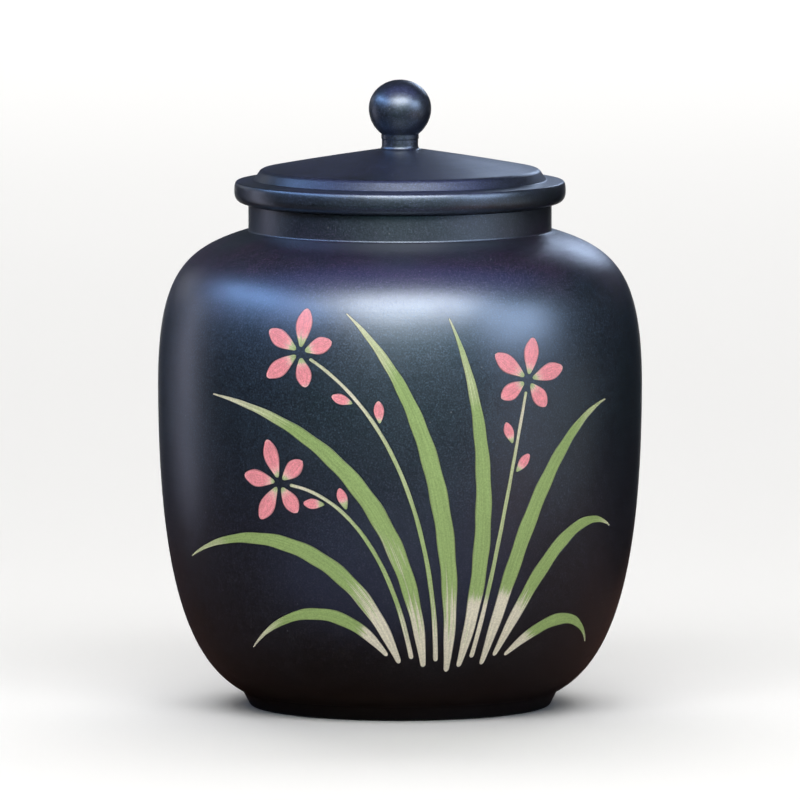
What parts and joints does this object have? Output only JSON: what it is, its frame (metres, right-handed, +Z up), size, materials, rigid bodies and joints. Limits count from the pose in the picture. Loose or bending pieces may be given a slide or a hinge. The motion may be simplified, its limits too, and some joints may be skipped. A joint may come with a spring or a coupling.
{
  "type": "lidded tea canister",
  "caption": "Round-shouldered black ceramic tea canister with a lift-off domed lid, ball knob and a flush spray of leaves and blossoms in coloured clay.",
  "frame": {"origin": "centre of the foot ring's standing face", "axes": "+Z up along the axis that the jar, lid and knob are turned about; the inlaid front looks along -Y"},
  "size_m": [0.2, 0.2, 0.259],
  "materials": {
    "black_clay": "burnished unglazed black clay, satin",
    "leaf_clay": "cream to green clay, burnished flush",
    "stem_clay": "pale green clay, burnished flush",
    "petal_clay": "cream to pink clay, burnished flush"
  },
  "bodies": {
    "jar": {"jar_body": "black_clay", "leaf_inlay_1": "leaf_clay", "leaf_inlay_2": "leaf_clay", "leaf_inlay_3": "leaf_clay", "leaf_inlay_4": "leaf_clay", "leaf_inlay_5": "leaf_clay", "leaf_inlay_6": "leaf_clay", "leaf_inlay_7": "leaf_clay", "leaf_inlay_8": "leaf_clay", "stem_inlay_1": "stem_clay", "stem_inlay_2": "stem_clay", "stem_inlay_3": "stem_clay", "petal_inlay_1_1": "petal_clay", "petal_inlay_1_2": "petal_clay", "petal_inlay_1_3": "petal_clay", "petal_inlay_1_4": "petal_clay", "petal_inlay_1_5": "petal_clay", "petal_inlay_2_1": "petal_clay", "petal_inlay_2_2": "petal_clay", "petal_inlay_2_3": "petal_clay", "petal_inlay_2_4": "petal_clay", "petal_inlay_2_5": "petal_clay", "petal_inlay_3_1": "petal_clay", "petal_inlay_3_2": "petal_clay", "petal_inlay_3_3": "petal_clay", "petal_inlay_3_4": "petal_clay", "petal_inlay_3_5": "petal_clay", "bud_inlay_1_1": "petal_clay", "bud_inlay_1_2": "petal_clay", "bud_inlay_2_1": "petal_clay", "bud_inlay_2_2": "petal_clay", "bud_inlay_3_1": "petal_clay", "bud_inlay_3_2": "petal_clay"},
    "lid": {"lid": "black_clay", "lid_knob": "black_clay"}
  },
  "joints": [
    {"name": "lid_lift", "type": "slide", "parent": "jar", "child": "lid", "axis": [0, 0, 1], "range_m": [0, 0.15]}
  ]
}
